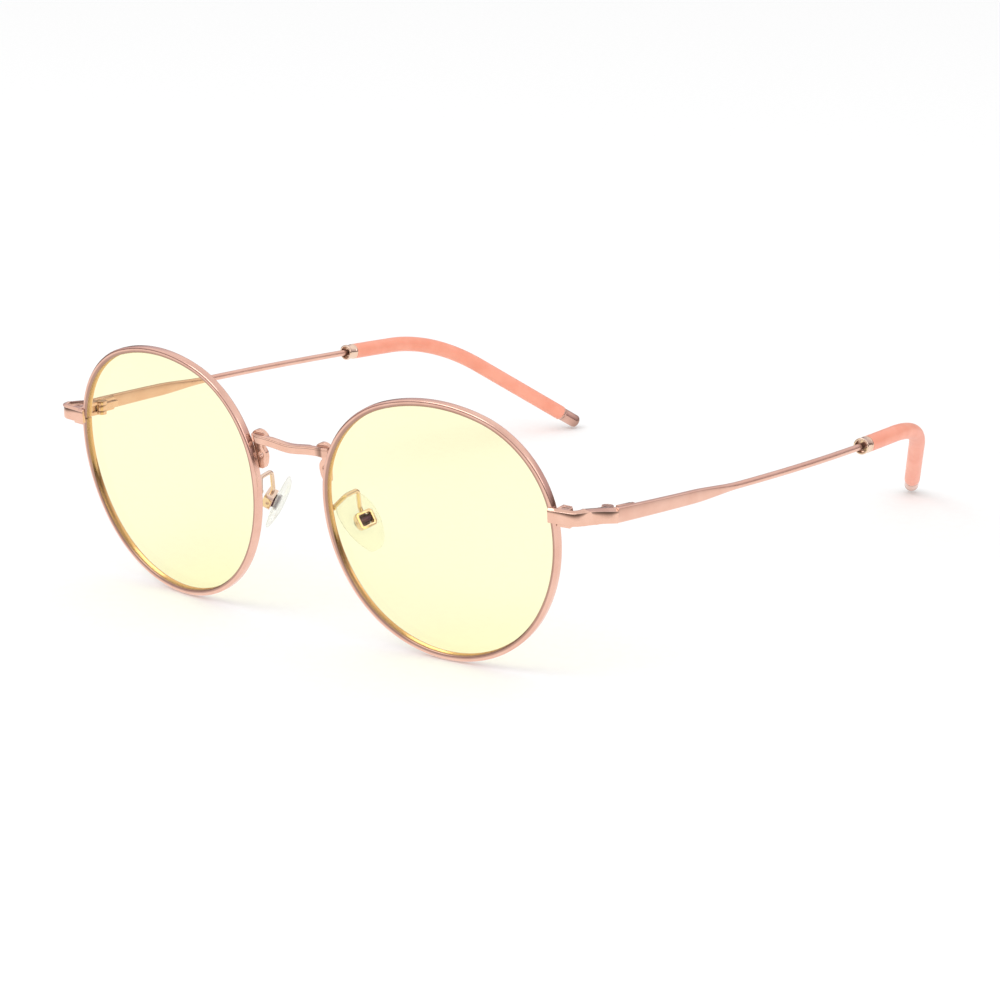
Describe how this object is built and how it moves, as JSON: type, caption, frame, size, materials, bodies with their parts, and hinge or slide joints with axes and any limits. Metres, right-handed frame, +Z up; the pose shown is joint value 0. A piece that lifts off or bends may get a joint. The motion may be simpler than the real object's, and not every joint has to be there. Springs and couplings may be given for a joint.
{
  "type": "round wire eyeglasses",
  "caption": "Round wire-rim eyeglasses with tinted lenses, adjustable nose pads, slim folding temples on barrel hinges and soft sleeved temple tips.",
  "frame": {"origin": "centre of the footprint on the table the open glasses stand on, midway between the lenses' front and the temple tips' ends", "axes": "+X to the wearer's left, +Y from the lenses back towards the ears, +Z up from the table"},
  "size_m": [0.1374, 0.1557, 0.0505],
  "materials": {
    "rose_metal": "satin rose-gold plating on the frame metal",
    "gold_wire": "satin, slightly yellower plating",
    "screw_steel": "machined screw",
    "lug_metal": "dark dipped metal",
    "lens_tint": "pale yellow tint, clear, polished",
    "clear_pad": "clear soft silicone",
    "coral_tip": "semi-gloss moulded sleeve",
    "cap_metal": "polished metal end cap"
  },
  "bodies": {
    "front": {"rim_left": "rose_metal", "rim_right": "rose_metal", "lens_left": "lens_tint", "lens_right": "lens_tint", "bridge": "rose_metal", "gusset_left": "rose_metal", "gusset_right": "rose_metal", "endpiece_left": "rose_metal", "endpiece_right": "rose_metal", "rim_lock_left": "rose_metal", "rim_lock_right": "rose_metal", "rim_screw_left": "screw_steel", "rim_screw_right": "screw_steel", "pad_arm_left": "gold_wire", "pad_arm_right": "gold_wire", "pad_box_left": "gold_wire", "pad_box_right": "gold_wire", "pad_screw_left": "screw_steel", "pad_screw_right": "screw_steel", "hinge_front_left": "rose_metal", "hinge_front_right": "rose_metal", "hinge_screw_left": "screw_steel", "hinge_screw_right": "screw_steel"},
    "temple_arm_left": {"hinge_temple_left": "rose_metal", "temple_left": "rose_metal", "ferrule_left": "gold_wire", "temple_tip_left": "coral_tip", "tip_cap_left": "cap_metal"},
    "temple_arm_right": {"hinge_temple_right": "rose_metal", "temple_right": "rose_metal", "ferrule_right": "gold_wire", "temple_tip_right": "coral_tip", "tip_cap_right": "cap_metal"},
    "pad_left": {"pad_lug_left": "lug_metal", "nose_pad_left": "clear_pad"},
    "pad_right": {"pad_lug_right": "lug_metal", "nose_pad_right": "clear_pad"}
  },
  "joints": [
    {"name": "temple_left_fold", "type": "hinge", "parent": "front", "child": "temple_arm_left", "pos_m": [0.06302, -0.06259, 0.03144], "axis": [0, 0.0612, 0.9981], "range_deg": [0, 88]},
    {"name": "temple_right_fold", "type": "hinge", "parent": "front", "child": "temple_arm_right", "pos_m": [-0.06302, -0.06259, 0.03144], "axis": [0, -0.0612, -0.9981], "range_deg": [0, 78]},
    {"name": "nose_pad_left_rock", "type": "hinge", "parent": "front", "child": "pad_left", "pos_m": [0.01183, -0.06901, 0.02257], "axis": [-0.3452, -0.9047, -0.2496], "range_deg": [-8, 8]},
    {"name": "nose_pad_right_rock", "type": "hinge", "parent": "front", "child": "pad_right", "pos_m": [-0.01183, -0.06901, 0.02257], "axis": [-0.3452, 0.9047, 0.2496], "range_deg": [-8, 8]}
  ]
}
